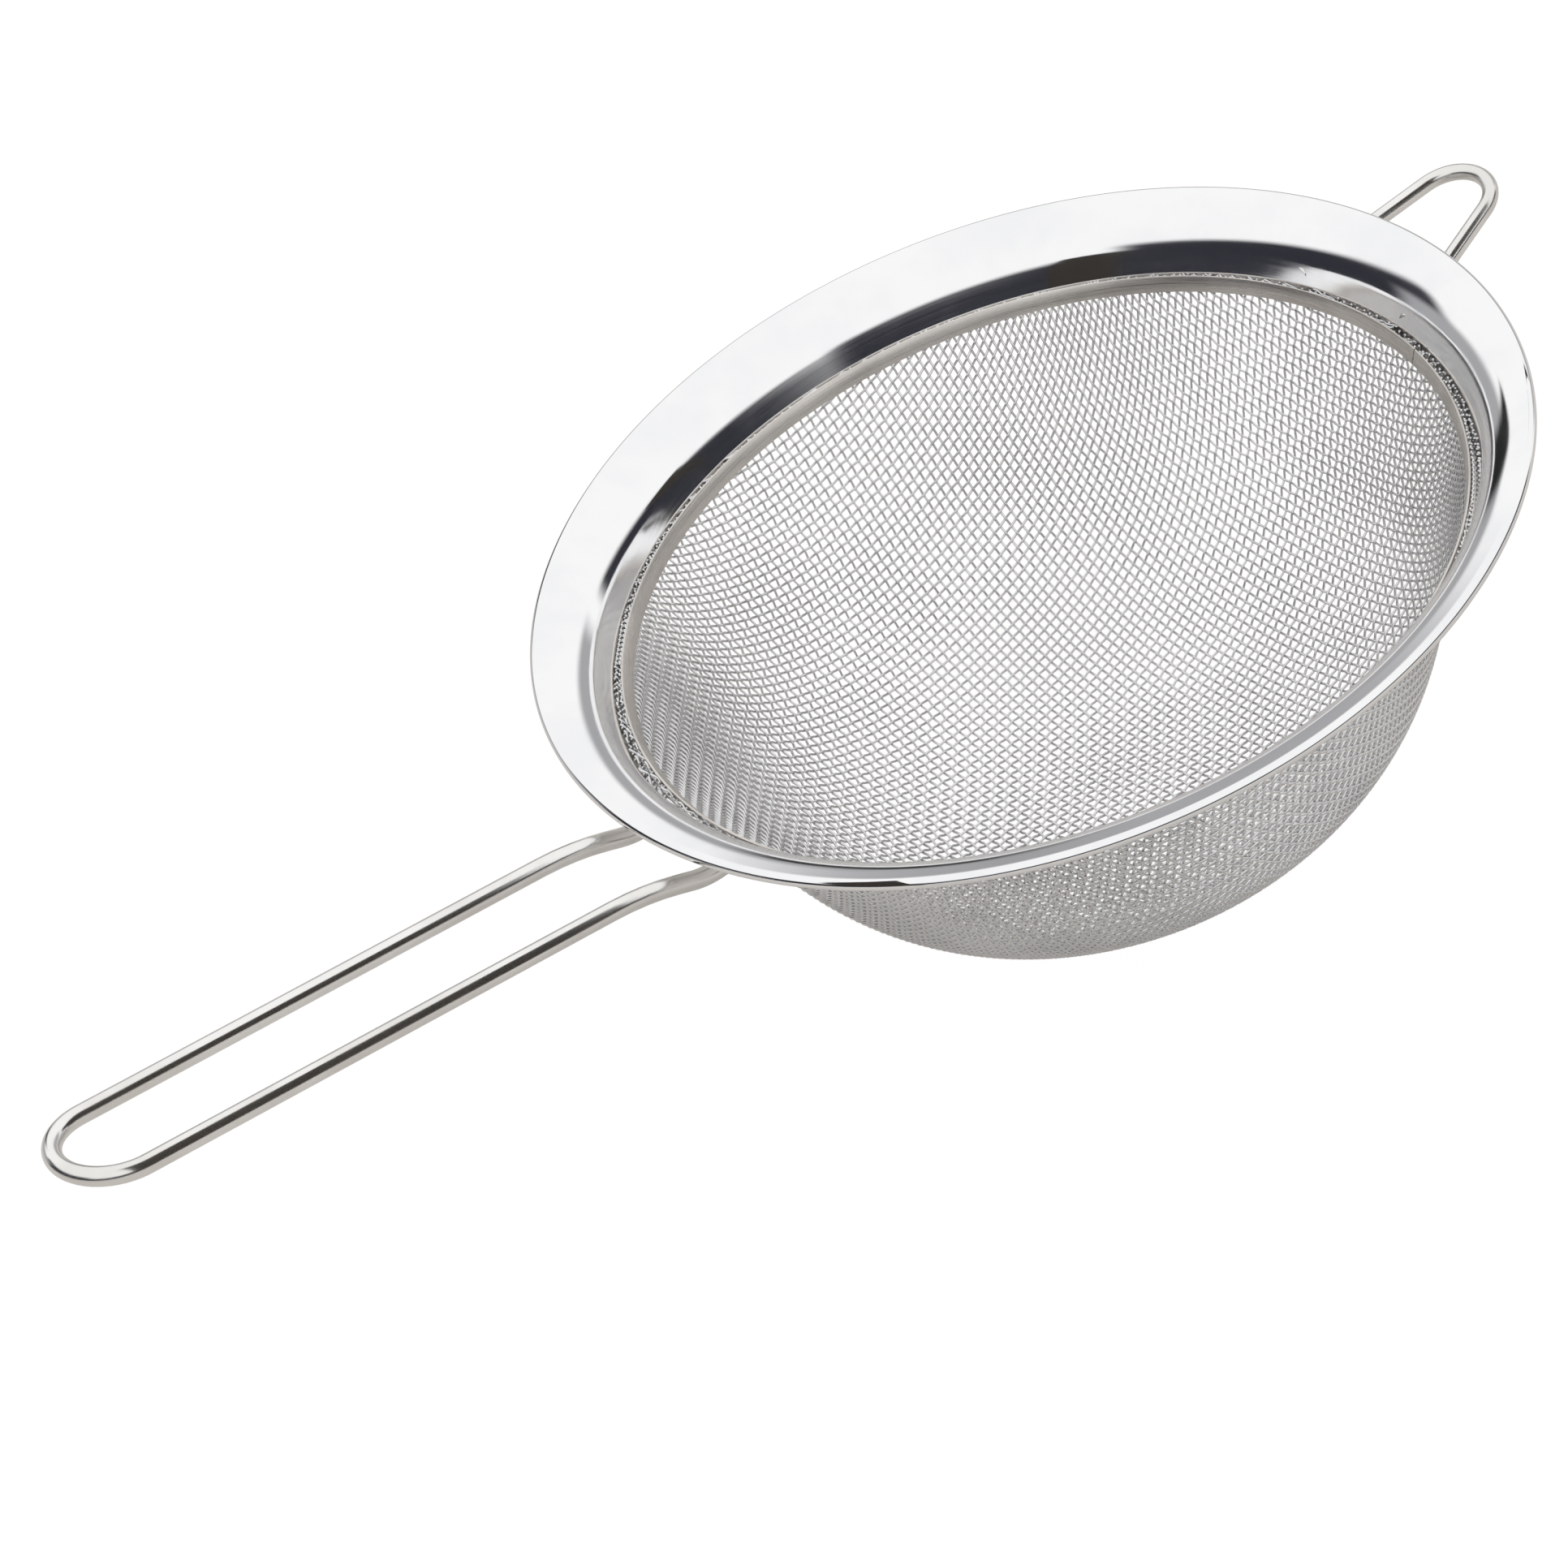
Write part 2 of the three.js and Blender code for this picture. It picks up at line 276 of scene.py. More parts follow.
def new_group(name, inputs, outputs):
    """A shader node group. inputs are (name, kind, default), outputs are (name, kind)."""
    tree = bpy.data.node_groups.new(name, "ShaderNodeTree")
    for label, kind, default in inputs:
        socket = tree.interface.new_socket(label, in_out="INPUT", socket_type=kind)
        if default is not None:
            socket.default_value = default
    for label, kind in outputs:
        tree.interface.new_socket(label, in_out="OUTPUT", socket_type=kind)
    nodes = Nodes(tree)
    return nodes, nodes.add("NodeGroupInput"), nodes.add("NodeGroupOutput")


def handling_marks_group():
    """Faint smudges and dulled patches that any handled steel has."""
    nodes, given, made = new_group(
        "handling_marks",
        [("Vector", "NodeSocketVector", None), ("Size", "NodeSocketFloat", 60.0)],
        [("Mask", "NodeSocketFloat"), ("Fine", "NodeSocketFloat")],
    )
    fine_to_broad = 14.0
    broad = nodes.noise(given.outputs["Vector"], given.outputs["Size"], detail=4.0, roughness=0.55)
    fine_size = nodes.math("MULTIPLY", given.outputs["Size"], fine_to_broad)
    fine = nodes.noise(given.outputs["Vector"], fine_size, detail=2.0, roughness=0.6)
    nodes.join(nodes.spread(broad, low=0.38, high=0.68), made.inputs["Mask"])
    nodes.join(nodes.spread(fine, low=0.3, high=0.7), made.inputs["Fine"])
    return nodes.tree


def turning_lines_group():
    """Fine rings left round the axis by spinning and polishing: they vary with radius and height."""
    nodes, given, made = new_group(
        "turning_lines",
        [("Vector", "NodeSocketVector", None), ("Lines", "NodeSocketFloat", 4000.0)],
        [("Height", "NodeSocketFloat"), ("Mask", "NodeSocketFloat")],
    )
    change_round_ring = 2.5
    parts = nodes.add("ShaderNodeSeparateXYZ")
    nodes.join(given.outputs["Vector"], parts.inputs[0])
    square_x = nodes.math("POWER", parts.outputs["X"], 2.0)
    square_y = nodes.math("POWER", parts.outputs["Y"], 2.0)
    radius = nodes.math("SQRT", nodes.math("ADD", square_x, square_y))
    angle = nodes.math("ABSOLUTE", nodes.math("ARCTAN2", parts.outputs["Y"], parts.outputs["X"]))
    ring = nodes.add("ShaderNodeCombineXYZ")
    nodes.join(nodes.math("MULTIPLY", radius, given.outputs["Lines"]), ring.inputs["X"])
    nodes.join(nodes.math("MULTIPLY", parts.outputs["Z"], given.outputs["Lines"]), ring.inputs["Y"])
    nodes.join(nodes.math("MULTIPLY", angle, change_round_ring), ring.inputs["Z"])
    lines = nodes.noise(ring.outputs["Vector"], 1.0, detail=3.0, roughness=0.65)
    nodes.join(lines, made.inputs["Height"])
    nodes.join(nodes.spread(lines, low=0.35, high=0.65), made.inputs["Mask"])
    return nodes.tree


def draw_lines_group():
    """Lines along a drawn rod, from the die."""
    nodes, given, made = new_group(
        "draw_lines",
        [("Vector", "NodeSocketVector", None), ("Stretch", "NodeSocketVector", (60.0, 900.0, 900.0))],
        [("Mask", "NodeSocketFloat")],
    )
    scaled = nodes.add("ShaderNodeVectorMath", operation="MULTIPLY")
    nodes.join(given.outputs["Vector"], scaled.inputs[0])
    nodes.join(given.outputs["Stretch"], scaled.inputs[1])
    lines = nodes.noise(scaled.outputs["Vector"], 1.0, detail=2.0, roughness=0.6)
    nodes.join(nodes.spread(lines, low=0.35, high=0.7), made.inputs["Mask"])
    return nodes.tree


HANDLING_MARKS = handling_marks_group()
TURNING_LINES = turning_lines_group()
DRAW_LINES = draw_lines_group()


class Steel:
    """A steel being made: its nodes, object coordinates, handling marks and shader."""

    def __init__(self, name, bright, dull):
        self.material, self.nodes = new_material(name)
        self.material.diffuse_color = (*bright, 1.0)
        self.shader = self.nodes.add("ShaderNodeBsdfPrincipled")
        self.shader.inputs["Metallic"].default_value = 1.0
        self.nodes.show(self.shader.outputs["BSDF"])
        self.place = self.nodes.add("ShaderNodeTexCoord").outputs["Object"]
        self.marks = self.nodes.place_group(HANDLING_MARKS, self.place)
        colour = self.nodes.mix(self.marks.outputs["Mask"], (*bright, 1.0), (*dull, 1.0))
        self.nodes.join(colour, self.shader.inputs["Base Color"])

    def roughen(self, least, *layers):
        """The roughness: the least it can be, with a share of each (mask, share) added."""
        rough = least
        for mask, share in layers:
            rough = self.nodes.math("ADD", self.nodes.math("MULTIPLY", mask, share), rough)
        self.nodes.join(rough, self.shader.inputs["Roughness"])

    def add_relief(self, height, strength, distance):
        relief = self.nodes.add("ShaderNodeBump")
        relief.inputs["Strength"].default_value = strength
        relief.inputs["Distance"].default_value = distance
        self.nodes.join(height, relief.inputs["Height"])
        self.nodes.join(relief.outputs["Normal"], self.shader.inputs["Normal"])


def polished_rim():
    steel = Steel("rim_steel", bright=(0.93, 0.93, 0.935), dull=(0.88, 0.885, 0.895))
    lines = steel.nodes.place_group(TURNING_LINES, steel.place, Lines=5000.0)
    steel.roughen(0.05, (steel.marks.outputs["Mask"], 0.05), (lines.outputs["Mask"], 0.03))
    steel.add_relief(lines.outputs["Height"], strength=0.06, distance=0.02 * MM)
    return steel.material


def satin_band():
    steel = Steel("band_steel", bright=(0.74, 0.705, 0.665), dull=(0.60, 0.565, 0.53))
    lines = steel.nodes.place_group(TURNING_LINES, steel.place, Lines=9000.0)
    steel.roughen(0.24, (lines.outputs["Mask"], 0.18))
    steel.add_relief(lines.outputs["Height"], strength=0.35, distance=0.03 * MM)
    return steel.material


def cloth_wire():
    steel = Steel("mesh_steel", bright=(0.82, 0.82, 0.825), dull=(0.72, 0.72, 0.725))
    steel.roughen(0.12, (steel.marks.outputs["Fine"], 0.08))
    return steel.material


def polished_rod():
    steel = Steel("wire_steel", bright=(0.90, 0.89, 0.875), dull=(0.80, 0.785, 0.76))
    lines = steel.nodes.place_group(DRAW_LINES, steel.place)
    steel.roughen(0.17, (lines.outputs["Mask"], 0.03), (steel.marks.outputs["Mask"], 0.05))
    return steel.material


def weld_metal():
    steel = Steel("weld_steel", bright=(0.62, 0.56, 0.49), dull=(0.40, 0.34, 0.30))
    steel.marks.inputs["Size"].default_value = 500.0
    ripples = steel.nodes.noise(steel.place, 2600.0, detail=3.0, roughness=0.6)
    ripple_tops = steel.nodes.spread(ripples, low=0.3, high=0.7)
    steel.roughen(0.3, (ripple_tops, 0.2))
    steel.add_relief(ripples, strength=0.5, distance=0.12 * MM)
    return steel.material


RIM_STEEL = polished_rim()
BAND_STEEL = satin_band()
MESH_STEEL = cloth_wire()
ROD_STEEL = polished_rod()
WELD_STEEL = weld_metal()


# ---- rim: an outline of the sheet's upper face, spun round and given its thickness ---------------
def towards(angle):
    return Vector((math.cos(angle), 0, math.sin(angle)))


FLANGE_NORMAL = math.pi / 2 + FLANGE_SLOPE
BEAD_CENTRE = Vector((RIM_RADIUS - BEAD_RADIUS, 0, BEAD_HEIGHT))
FLANGE_RUN = towards(FLANGE_NORMAL + math.pi / 2) * FLANGE_FLAT
SHOULDER_CENTRE = BEAD_CENTRE + FLANGE_RUN - towards(FLANGE_NORMAL) * (SHOULDER_RADIUS - BEAD_RADIUS)
NECK_TOP = SHOULDER_CENTRE + towards(math.pi - NECK_LEAN) * SHOULDER_RADIUS


def on_neck(height, inwards):
    """Radius at a height, inwards of the neck's inner face by a distance across the sheet."""
    return NECK_TOP.x - (NECK_TOP.z - height) * math.tan(NECK_LEAN) - inwards / math.cos(NECK_LEAN)


def make_rim():
    curl_tip = BEAD_CENTRE + towards(FLANGE_NORMAL - BEAD_WRAP) * BEAD_RADIUS
    neck_foot = Vector((on_neck(NECK_FOOT, 0), 0, NECK_FOOT))
    inwards = (0, 1, 0)

    deselect_all()
    bpy.ops.mesh.primitive_plane_add(size=BEAD_RADIUS, location=curl_tip)
    piece = begin("rim_sheet")
    bpy.ops.mesh.merge(type="CENTER")
    spin_about(BEAD_CENTRE, inwards, BEAD_WRAP, BEAD_STEPS)
    extrude_in_steps(FLANGE_RUN, FLANGE_STEPS)
    spin_about(SHOULDER_CENTRE, inwards, math.pi / 2 - NECK_LEAN - FLANGE_SLOPE, SHOULDER_STEPS)
    extrude_in_steps(neck_foot - NECK_TOP, NECK_STEPS)
    bpy.ops.mesh.select_all(action="SELECT")
    spin_about((0, 0, 0), (0, 0, 1), 2 * math.pi, RIM_TURNS)
    bpy.ops.mesh.select_all(action="SELECT")
    bpy.ops.mesh.remove_doubles(threshold=SAME_PLACE)
    bpy.ops.mesh.normals_make_consistent(inside=False)
    bpy.ops.object.mode_set(mode="OBJECT")
    face_up(piece)
    apply_modifier(piece, "SOLIDIFY", thickness=SHEET, offset=-1.0)
    cut_edges = math.radians(60)
    apply_modifier(piece, "BEVEL", width=SHEET_EDGE, segments=2, limit_method="ANGLE", angle_limit=cut_edges)
    bpy.ops.object.shade_smooth_by_angle(angle=SHEET_SMOOTHING)
    finish_piece(piece, RIM_STEEL, "rim_flange")


def face_up(piece):
    """Turns an open sheet over if its flange looks down, so that its thickness goes underneath."""
    flange_tilt = math.cos(FLANGE_SLOPE) - 0.01
    flange_faces = [face for face in piece.data.polygons if abs(face.normal.z) > flange_tilt]
    widest = max(flange_faces, key=lambda face: face.area)
    if widest.normal.z < 0:
        piece.data.flip_normals()


# ---- clamp band: a strip bent into a ring whose ends meet at a fine joint ------------------------
def make_band():
    deselect_all()
    middle_z = (band_low.z + band_high.z) / 2
    middle_x = on_neck(middle_z, BAND_DEPTH + BAND_THICKNESS / 2)
    length = (band_high.z - band_low.z) / math.cos(NECK_LEAN)
    bpy.ops.mesh.primitive_plane_add(size=1, location=(0, 0, 0), rotation=(math.pi / 2, 0, 0))
    piece = begin("band_strip")
    bpy.ops.transform.resize(value=(BAND_THICKNESS, 1, length))
    bpy.ops.mesh.bevel(offset=BAND_EDGE, segments=3, affect="VERTICES")
    bpy.ops.transform.rotate(
        value=-NECK_LEAN, orient_axis="Y", orient_type="GLOBAL", center_override=(0, 0, 0))
    bpy.ops.transform.translate(value=(middle_x, 0, middle_z))
    bpy.ops.mesh.delete(type="ONLY_FACE")
    bpy.ops.mesh.select_all(action="SELECT")
    gap = BAND_JOINT_WIDTH / band_high.x
    spin_about((0, 0, 0), (0, 0, 1), 2 * math.pi - gap, RIM_TURNS)
    close_up(SHEET_SMOOTHING)
    piece.data.transform(Matrix.Rotation(BAND_JOINT_ANGLE, 4, "Z"))
    finish_piece(piece, BAND_STEEL, "clamp_band")


# ---- rods: a round section drawn along straight runs and spun round each bend --------------------
def rim_outside(height):
    """Radius of the rim's outside, on the neck or on the shoulder above it."""
    bend = SHOULDER_RADIUS - SHEET
    if height > SHOULDER_CENTRE.z + bend * math.sin(NECK_LEAN):
        return SHOULDER_CENTRE.x - math.sqrt(bend ** 2 - (height - SHOULDER_CENTRE.z) ** 2)
    return on_neck(height, -SHEET)


def bend_between(before, corner, after, radius):
    """(where the bend starts, where it ends, its centre, its axis, its angle) for a corner of a rod."""
    back = (before - corner).normalized()
    ahead = (after - corner).normalized()
    opening = back.angle(ahead)
    reach = radius / math.tan(opening / 2)
    centre = corner + (back + ahead).normalized() * (radius / math.sin(opening / 2))
    axis = ahead.cross(back).normalized()
    return corner + back * reach, corner + ahead * reach, centre, axis, math.pi - opening


def make_half_rod(name, corners, bends, diameter, last_share):
    """Half a bent rod, from its open end to the rod's middle, and its mirror image.

    last_share is how much of the last bend lies in this half."""
    heading = (corners[1] - corners[0]).normalized()
    turn = heading.to_track_quat("Z", "Y").to_euler()
    deselect_all()
    here = corners[0]
    bpy.ops.mesh.primitive_circle_add(
        vertices=ROD_SIDES, radius=diameter / 2, location=here, rotation=turn)
    piece = begin(name)
    for index, radius in enumerate(bends, start=1):
        bend = bend_between(corners[index - 1], corners[index], corners[index + 1], radius)
        bend_start, bend_end, centre, axis, angle = bend
        extrude_in_steps(bend_start - here, RUN_STEPS)
        if index == len(bends):
            angle *= last_share
        steps = max(FEWEST_BEND_STEPS, round(angle / BEND_STEP))
        spin_about(centre, -axis, angle, steps)
        here = bend_end
    bpy.ops.object.mode_set(mode="OBJECT")
    across = (False, True, False)
    apply_modifier(piece, "MIRROR", use_axis=across, use_mirror_merge=True, merge_threshold=HALVES_MEET)
    bpy.ops.object.mode_set(mode="EDIT")
    close_up(ROD_SMOOTHING)
    return piece


def make_handle():
    end_x = math.sqrt(rim_outside(HANDLE_LEVEL) ** 2 - HANDLE_SIDE ** 2)
    first_corner = rim_outside(HANDLE_LEVEL) + HANDLE_LEVEL_RUN
    tip_z = HANDLE_SECOND_HEIGHT + (HANDLE_TIP - HANDLE_SECOND_CORNER) * math.tan(HANDLE_RISE)
    corners = [
        Vector((-end_x, HANDLE_SIDE, HANDLE_LEVEL)),
        Vector((-first_corner, HANDLE_SIDE, HANDLE_LEVEL)),
        Vector((-HANDLE_SECOND_CORNER, HANDLE_SIDE, HANDLE_SECOND_HEIGHT)),
        Vector((-HANDLE_TIP, HANDLE_SIDE, tip_z)),
        Vector((-HANDLE_TIP, -HANDLE_SIDE, tip_z)),
    ]
    piece = make_half_rod("handle_rod", corners, HANDLE_BENDS, HANDLE_WIRE, 1.0)
    finish_piece(piece, ROD_STEEL, "handle_wire")
    outwards = Vector((-1, 0, 0))
    for side, node in ((1, "handle_weld_left"), (-1, "handle_weld_right")):
        end = Vector((-end_x, side * HANDLE_SIDE, HANDLE_LEVEL))
        make_weld(node, end, outwards, HANDLE_WIRE)


def make_rest_loop():
    corner_x = LOOP_TIP + LOOP_BEND * (1 / math.sin(LOOP_CLOSING) - 1)
    near_side = (corner_x - rim_outside(LOOP_LEVEL)) * math.tan(LOOP_CLOSING)
    end_x = math.sqrt(rim_outside(LOOP_LEVEL) ** 2 - near_side ** 2)
    end_side = (corner_x - end_x) * math.tan(LOOP_CLOSING)
    end = Vector((end_x, end_side, LOOP_LEVEL))
    corner = Vector((corner_x, 0, LOOP_LEVEL + (corner_x - end_x) * math.tan(LOOP_RISE)))
    other_end = Vector((end_x, -end_side, LOOP_LEVEL))
    piece = make_half_rod("rest_loop_rod", [end, corner, other_end], (LOOP_BEND,), LOOP_WIRE, 0.5)
    finish_piece(piece, ROD_STEEL, "rest_loop_wire")
    make_weld("rest_loop_weld_left", end, (corner - end).normalized(), LOOP_WIRE)
    make_weld("rest_loop_weld_right", other_end, (corner - other_end).normalized(), LOOP_WIRE)


def make_weld(node, end, heading, diameter):
    """A lumpy fillet round a rod's end: rings drawn in along the rod, then roughened."""
    radial = Vector((end.x, end.y, 0)).normalized()
    off_neck = radial * math.cos(NECK_LEAN) - Vector((0, 0, math.sin(NECK_LEAN)))
    turn = off_neck.to_track_quat("Z", "Y").to_euler()
    deselect_all()
    foot = radial * rim_outside(end.z) + Vector((0, 0, end.z))
    rod_radius = diameter / 2
    along_before, size_before = 0.0, rod_radius + WELD_RINGS[0][1] * MM
    bpy.ops.mesh.primitive_circle_add(
        vertices=WELD_SIDES, radius=size_before, fill_type="NGON", location=foot, rotation=turn)
    piece = begin(node + "_bead")
    place = foot
    for along, build_up in WELD_RINGS[1:]:
        size = rod_radius + build_up * MM
        step = heading * (along - along_before) * MM
        extrude_by(step)
        place = place + step
        share = size / size_before
        bpy.ops.transform.resize(value=(share, share, share), center_override=place)
        along_before, size_before = along, size
    close_up(ROD_SMOOTHING)
    apply_modifier(piece, "SUBSURF", levels=2, render_levels=2)
    lumps = bpy.data.textures.new(node + "_bead_lumps", "CLOUDS")
    lumps.noise_scale = WELD_LUMP_SIZE
    apply_modifier(piece, "DISPLACE", texture=lumps, strength=WELD_LUMP_HEIGHT, mid_level=0.5,
                   texture_coords="GLOBAL")
    bpy.ops.object.shade_smooth_by_angle(angle=WELD_SMOOTHING)
    finish_piece(piece, WELD_STEEL, node)


# ---- cloth: plain-woven wire laid over the bowl --------------------------------------------------
class Bowl:
    """The middle of the cloth's thickness, as an outline turned about the axis.

    The outline is a flat, a round corner and a leaning wall that runs on into the neck. A point is given
    by (u, v): its distance along the outline from the pole is hypot(u, v), its bearing is that of (u, v)."""

    def __init__(self):
        inset = CRIMP + WIRE / 2
        top_x = on_neck(NECK_FOOT, CLOTH_CLEARANCE)
        across = top_x - BASE_FLAT
        corner = (across * math.cos(WALL_LEAN) - NECK_FOOT * math.sin(WALL_LEAN)) / (1 - math.sin(WALL_LEAN))
        self.corner_z = corner
        self.radius = corner - inset
        self.round_turn = math.pi / 2 - WALL_LEAN
        self.round_end = BASE_FLAT + self.radius * self.round_turn
        round_top = corner - self.radius * math.sin(WALL_LEAN)
        self.edge = self.round_end + (CLOTH_TOP - round_top) / math.cos(WALL_LEAN)

    def outline(self, s):
        """Radius, height and the outward normal's two parts at distances s along the outline."""
        turned = np.clip((s - BASE_FLAT) / self.radius, 0, self.round_turn)
        up_wall = np.maximum(s - self.round_end, 0)
        radius = np.minimum(s, BASE_FLAT) + self.radius * np.sin(turned) + up_wall * math.sin(WALL_LEAN)
        height = self.corner_z - self.radius * np.cos(turned) + up_wall * math.cos(WALL_LEAN)
        return radius, height, np.sin(turned), -np.cos(turned)

    def at(self, uv):
        """Points and outward normals for an array of (u, v)."""
        s = np.hypot(uv[..., 0], uv[..., 1])
        safe = np.maximum(s, SAME_PLACE)
        east, north = uv[..., 0] / safe, uv[..., 1] / safe
        radius, height, normal_out, normal_up = self.outline(s)
        points = np.stack([radius * east, radius * north, height], -1)
        normals = np.stack([normal_out * east, normal_out * north, normal_up], -1)
        return points, normals


def drape(bowl):
    """(u, v) of every crossing in one quarter of the cloth.

    The wires don't stretch, so each crossing lies one pitch from the two before it."""
    count = int(bowl.edge / PITCH) + 3
    net = np.full((count, count, 2), np.nan)
    along = np.arange(count) * PITCH
    net[:, 0] = np.stack([along, np.zeros(count)], -1)
    net[0, :] = np.stack([np.zeros(count), along], -1)
    for diagonal in range(2, 2 * count - 1):
        i = np.arange(max(1, diagonal - count + 1), min(count - 1, diagonal - 1) + 1)
        j = diagonal - i
        west, south, corner = net[i - 1, j], net[i, j - 1], net[i - 1, j - 1]
        known = np.isfinite(west[:, 0]) & np.isfinite(south[:, 0]) & np.isfinite(corner[:, 0])
        i, j, west, south, corner = i[known], j[known], west[known], south[known], corner[known]
        if len(i) == 0:
            break
        uv = west + south - corner
        west_at, south_at = bowl.at(west)[0], bowl.at(south)[0]
        for _ in range(NEWTON_ROUNDS):
            uv = uv - newton_step(bowl, uv, west_at, south_at)
        uv[np.hypot(uv[:, 0], uv[:, 1]) > bowl.edge + 2 * PITCH] = np.nan
        net[i, j] = uv
    return net


def newton_step(bowl, uv, west_at, south_at):
    """How far to move each crossing so that it lies nearer one pitch from both of its neighbours."""
    def misses(place):
        at = bowl.at(place)[0]
        return np.stack([((at - known) ** 2).sum(-1) - PITCH ** 2 for known in (west_at, south_at)], -1)

    nudge = 1e-3 * PITCH
    here = misses(uv)
    by_u = (misses(uv + [nudge, 0]) - here) / nudge
    by_v = (misses(uv + [0, nudge]) - here) / nudge
    determinant = by_u[:, 0] * by_v[:, 1] - by_v[:, 0] * by_u[:, 1]
    step_u = (here[:, 0] * by_v[:, 1] - by_v[:, 0] * here[:, 1]) / determinant
    step_v = (by_u[:, 0] * here[:, 1] - here[:, 0] * by_u[:, 1]) / determinant
    step = np.stack([step_u, step_v], -1)
    return np.clip(step, -PITCH / 2, PITCH / 2)


def full_net(quarter):
    """The whole cloth's crossings from one quarter, indexed from -n to n both ways."""
    n = len(quarter) - 1
    whole = np.full((2 * n + 1, 2 * n + 1, 2), np.nan)
    for east in (1, -1):
        for north in (1, -1):
            signed = quarter * [east, north]
            rows = n + east * np.arange(n + 1)
            columns = n + north * np.arange(n + 1)
            whole[np.ix_(rows, columns)] = signed
    return whole


def wire_stations(bowl, crossings, first_side):
    """Centre points and outward normals along one cloth wire, cut off at the cloth's edge."""
    kept = np.flatnonzero(np.isfinite(crossings[:, 0]))
    crossings = crossings[kept[0]:kept[-1] + 1]
    steps = np.arange((len(crossings) - 1) * STATIONS_PER_PITCH + 1) / STATIONS_PER_PITCH
    places = np.arange(len(crossings))
    uv = np.stack([np.interp(steps, places, crossings[:, axis]) for axis in (0, 1)], -1)
    within = np.hypot(uv[:, 0], uv[:, 1]) <= bowl.edge
    uv, steps = uv[within], steps[within]
    if len(uv) < 2 * STATIONS_PER_PITCH:
        return None
    points, normals = bowl.at(uv)
    side = first_side * (-1) ** kept[0]
    return points + normals * (side * CRIMP * np.cos(math.pi * steps))[:, None], normals


def wire_tube(centres, normals):
    """Vertices and quads of one closed round wire."""
    count = len(centres)
    heading = np.gradient(centres, axis=0)
    heading /= np.linalg.norm(heading, axis=1)[:, None]
    sideways = np.cross(heading, normals)
    sideways /= np.linalg.norm(sideways, axis=1)[:, None]
    upward = np.cross(sideways, heading)
    turn = 2 * math.pi * np.arange(CLOTH_WIRE_SIDES) / CLOTH_WIRE_SIDES
    ring = np.cos(turn)[:, None] * sideways[:, None, :] + np.sin(turn)[:, None] * upward[:, None, :]
    vertices = (centres[:, None, :] + WIRE / 2 * ring).reshape(-1, 3)
    station = np.arange(count - 1)[:, None] * CLOTH_WIRE_SIDES
    edge = np.arange(CLOTH_WIRE_SIDES)[None, :]
    after = (edge + 1) % CLOTH_WIRE_SIDES
    walls = np.stack([station + edge, station + CLOTH_WIRE_SIDES + edge,
                      station + CLOTH_WIRE_SIDES + after, station + after], -1).reshape(-1, 4)
    last = (count - 1) * CLOTH_WIRE_SIDES
    start_cap = [[0, 1, 2, 3], [0, 3, 4, 5]]
    end_cap = [[last + 3, last + 2, last + 1, last], [last + 5, last + 4, last + 3, last]]
    return vertices, np.vstack([walls, start_cap, end_cap])


def make_cloth_piece(name, tubes):
    """One object out of many wires' tubes."""
    vertices, quads, offset = [], [], 0
    for tube_vertices, tube_quads in tubes:
        vertices.append(tube_vertices)
        quads.append(tube_quads + offset)
        offset += len(tube_vertices)
    vertices, quads = np.vstack(vertices), np.vstack(quads)
    mesh = bpy.data.meshes.new(name)
    mesh.vertices.add(len(vertices))
    mesh.vertices.foreach_set("co", vertices.astype(np.float32).ravel())
    mesh.loops.add(quads.size)
    mesh.loops.foreach_set("vertex_index", quads.astype(np.int32).ravel())
    mesh.polygons.add(len(quads))
    mesh.polygons.foreach_set("loop_start", np.arange(0, quads.size, 4, dtype=np.int32))
    mesh.update(calc_edges=True)
    mesh.validate()
    mesh.shade_smooth()
    piece = bpy.data.objects.new(name, mesh)
    bpy.context.scene.collection.objects.link(piece)
    finish_piece(piece, MESH_STEEL, "mesh_bowl")


def make_cloth():
    bowl = Bowl()
    net = full_net(drape(bowl))
    for name, lines, first_side in (("cloth_warp", net, 1), ("cloth_weft", net.transpose(1, 0, 2), -1)):
        tubes = []
        for index, crossings in enumerate(lines):
            if np.isfinite(crossings[:, 0]).sum() < FEWEST_CROSSINGS:
                continue
            stations = wire_stations(bowl, crossings, first_side * (-1) ** index)
            if stations is not None:
                tubes.append(wire_tube(*stations))
        size = [len(quads) for _, quads in tubes]
        share = np.minimum(np.cumsum(size) * CLOTH_PARTS // (sum(size) + 1), CLOTH_PARTS - 1)
        for part in range(CLOTH_PARTS):
            chosen = [tube for tube, where in zip(tubes, share) if where == part]
            make_cloth_piece(f"{name}_{part + 1}", chosen)


# ---- studio: pale floor, a white room with one darker side, and the camera -----------------------
def make_floor():
    deselect_all()
    bpy.ops.mesh.primitive_plane_add(size=FLOOR_SIZE, location=(0, 0, 0))
    floor = begin("floor")
    bpy.ops.object.mode_set(mode="OBJECT")
    material, nodes = new_material("pale_floor")
    matt = nodes.add("ShaderNodeBsdfDiffuse")
    matt.inputs["Color"].default_value = FLOOR_COLOUR
    lit = nodes.add("ShaderNodeEmission")
    lit.inputs["Color"].default_value = (1, 1, 1, 1)
    lit.inputs["Strength"].default_value = FLOOR_LIGHT
    seen = nodes.add("ShaderNodeLightPath").outputs["Is Camera Ray"]
    blend = nodes.add("ShaderNodeMixShader")
    nodes.feed(blend.inputs[0], nodes.math("MULTIPLY", seen, FLOOR_GLOW))
    nodes.join(matt.outputs[0], blend.inputs[1])
    nodes.join(lit.outputs[0], blend.inputs[2])
    nodes.show(blend.outputs[0])
    floor.data.materials.append(material)


